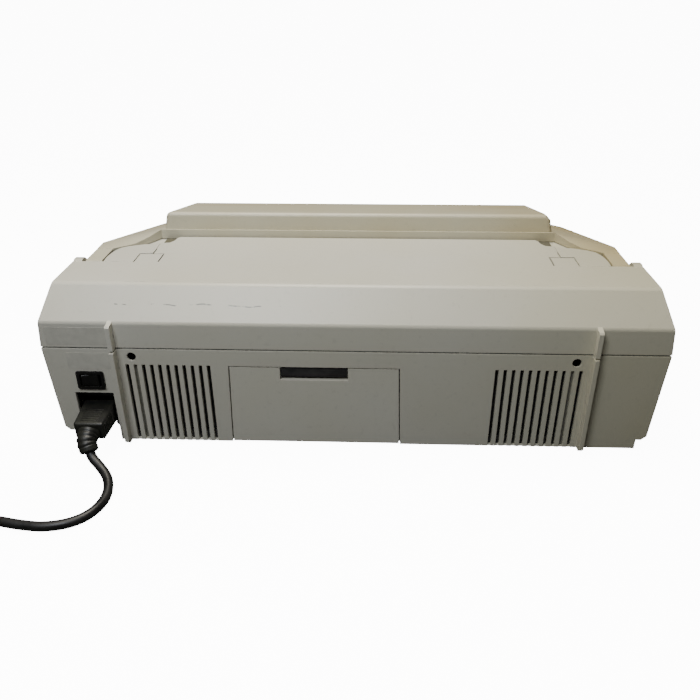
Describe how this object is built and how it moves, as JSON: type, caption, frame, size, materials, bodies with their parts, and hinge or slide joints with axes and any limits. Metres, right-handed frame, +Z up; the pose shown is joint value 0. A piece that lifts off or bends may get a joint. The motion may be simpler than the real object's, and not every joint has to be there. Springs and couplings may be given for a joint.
{
  "type": "inkjet printer",
  "caption": "Low wedge-shaped desktop inkjet printer with hinged access cover, rear jam door, front paper tray and mains lead.",
  "frame": {"origin": "centre of the printer's footprint, on the surface it stands on", "axes": "+X to the inlet side, +Y to the rear, +Z up"},
  "size_m": [0.5806, 0.5551, 0.1486],
  "materials": {
    "putty_shell": "fine moulded texture, lightly aged",
    "aged_cover": "fine moulded texture, yellowed",
    "black_plastic": "moulded, semi-gloss",
    "charcoal_plastic": "moulded, matt",
    "black_rubber": "satin black",
    "plated_steel": "zinc plated",
    "white_acetal": "moulded",
    "circuit_board": "green solder mask",
    "green_lens": "tinted clear"
  },
  "bodies": {
    "case": {"bottom_case": "putty_shell", "top_case": "putty_shell", "hinge_cover_left": "putty_shell", "hinge_cover_right": "putty_shell", "cover_pin_left": "plated_steel", "cover_pin_right": "plated_steel", "rear_screw_left": "plated_steel", "rear_screw_right": "plated_steel", "foot_1": "black_rubber", "foot_2": "black_rubber", "foot_3": "black_rubber", "foot_4": "black_rubber", "inlet_socket": "black_plastic", "switch_bezel": "black_plastic", "data_port": "charcoal_plastic", "side_plate_left": "plated_steel", "side_plate_right": "plated_steel", "rear_idler_stud": "plated_steel", "front_idler_stud": "plated_steel", "feed_motor": "plated_steel", "platen": "charcoal_plastic", "exit_guide": "charcoal_plastic", "carriage_frame": "plated_steel", "guide_rod": "plated_steel", "carriage_belt": "black_rubber", "carriage_motor": "plated_steel", "service_station": "charcoal_plastic", "power_supply": "plated_steel", "main_board": "circuit_board", "control_panel": "charcoal_plastic", "status_lens_1": "green_lens", "status_lens_2": "green_lens", "cord_connector": "black_plastic", "strain_relief": "black_rubber", "power_cord": "black_rubber", "power_cord_coil": "black_rubber", "wall_plug": "black_plastic"},
    "cover": {"access_cover": "aged_cover"},
    "door": {"rear_door": "putty_shell"},
    "latch": {"door_latch": "charcoal_plastic"},
    "rocker": {"power_rocker": "black_plastic"},
    "carriage_body": {"carriage": "charcoal_plastic", "black_cartridge": "black_plastic", "colour_cartridge": "black_plastic"},
    "drive_pulley_body": {"drive_pulley": "white_acetal"},
    "idler_pulley_body": {"idler_pulley": "white_acetal"},
    "drum": {"feed_drum": "black_rubber", "drum_gear": "white_acetal"},
    "rear_idler": {"rear_idler_gear": "white_acetal"},
    "front_idler": {"front_idler_gear": "white_acetal"},
    "pinion": {"feed_pinion": "white_acetal"},
    "exit": {"exit_roller": "black_rubber", "exit_gear": "white_acetal"},
    "pinch": {"pinch_roller": "black_rubber"},
    "tray": {"input_tray": "putty_shell"},
    "guide": {"width_guide": "charcoal_plastic"},
    "flap": {"output_tray": "putty_shell"},
    "key_1": {"panel_key_1": "putty_shell"},
    "key_2": {"panel_key_2": "putty_shell"},
    "key_3": {"panel_key_3": "putty_shell"}
  },
  "joints": [
    {"name": "cover_hinge", "type": "hinge", "parent": "case", "child": "cover", "pos_m": [0, 0.10875, 0.12], "axis": [-1, 0, 0], "range_deg": [0, 65]},
    {"name": "door_hinge", "type": "hinge", "parent": "case", "child": "door", "pos_m": [0.0284, 0.17725, 0.0039], "axis": [-1, 0, 0], "range_deg": [0, 85]},
    {"name": "latch_slide", "type": "slide", "parent": "door", "child": "latch", "axis": [0, 0, -1], "range_m": [0, 0.002], "stiffness_N_per_m": 300},
    {"name": "switch_rock", "type": "hinge", "parent": "case", "child": "rocker", "pos_m": [0.1986, 0.17475, 0.057], "axis": [0, 0, 1], "range_deg": [-7, 7]},
    {"name": "carriage_slide", "type": "slide", "parent": "case", "child": "carriage_body", "axis": [1, 0, 0], "range_m": [0, 0.256]},
    {"name": "drive_pulley_spin", "type": "hinge", "parent": "case", "child": "drive_pulley_body", "pos_m": [-0.178, 0.05775, 0.106], "axis": [0, 1, 0], "continuous": true},
    {"name": "idler_pulley_spin", "type": "hinge", "parent": "case", "child": "idler_pulley_body", "pos_m": [0.178, 0.05775, 0.106], "axis": [0, 1, 0], "continuous": true},
    {"name": "drum_spin", "type": "hinge", "parent": "case", "child": "drum", "pos_m": [0, 0.12875, 0.052], "axis": [1, 0, 0], "continuous": true},
    {"name": "rear_idler_spin", "type": "hinge", "parent": "case", "child": "rear_idler", "pos_m": [0, 0.08675, 0.052], "axis": [1, 0, 0], "continuous": true},
    {"name": "front_idler_spin", "type": "hinge", "parent": "case", "child": "front_idler", "pos_m": [0, 0.02096, 0.056], "axis": [1, 0, 0], "continuous": true},
    {"name": "pinion_spin", "type": "hinge", "parent": "case", "child": "pinion", "pos_m": [0, 0.05875, 0.052], "axis": [1, 0, 0], "continuous": true},
    {"name": "exit_spin", "type": "hinge", "parent": "case", "child": "exit", "pos_m": [0, -0.008, 0.076], "axis": [1, 0, 0], "continuous": true},
    {"name": "pinch_spin", "type": "hinge", "parent": "case", "child": "pinch", "pos_m": [0, 0.11675, 0.0822], "axis": [1, 0, 0], "continuous": true},
    {"name": "tray_slide", "type": "slide", "parent": "case", "child": "tray", "axis": [0, -1, 0], "range_m": [0, 0.12]},
    {"name": "guide_slide", "type": "slide", "parent": "tray", "child": "guide", "axis": [1, 0, 0], "range_m": [0, 0.05]},
    {"name": "flap_hinge", "type": "hinge", "parent": "case", "child": "flap", "pos_m": [0.0284, -0.12225, 0.0397], "axis": [-1, 0, 0], "range_deg": [0, 60]},
    {"name": "key_1_press", "type": "slide", "parent": "case", "child": "key_1", "axis": [0, 0.1917, -0.9815], "range_m": [0, 0.0008], "stiffness_N_per_m": 200},
    {"name": "key_2_press", "type": "slide", "parent": "case", "child": "key_2", "axis": [0, 0.1917, -0.9815], "range_m": [0, 0.0008], "stiffness_N_per_m": 200},
    {"name": "key_3_press", "type": "slide", "parent": "case", "child": "key_3", "axis": [0, 0.1917, -0.9815], "range_m": [0, 0.0008], "stiffness_N_per_m": 200}
  ],
  "couplings": [
    {"joint": "drive_pulley_spin", "follows": "carriage_slide", "rad_per_m": 142.86},
    {"joint": "idler_pulley_spin", "follows": "carriage_slide", "rad_per_m": 142.86},
    {"joint": "rear_idler_spin", "follows": "drum_spin", "ratio": -1.1},
    {"joint": "pinion_spin", "follows": "drum_spin", "ratio": 2.75},
    {"joint": "front_idler_spin", "follows": "drum_spin", "ratio": -0.73333},
    {"joint": "exit_spin", "follows": "drum_spin", "ratio": 4.2308},
    {"joint": "pinch_spin", "follows": "drum_spin", "ratio": -6.6667}
  ]
}
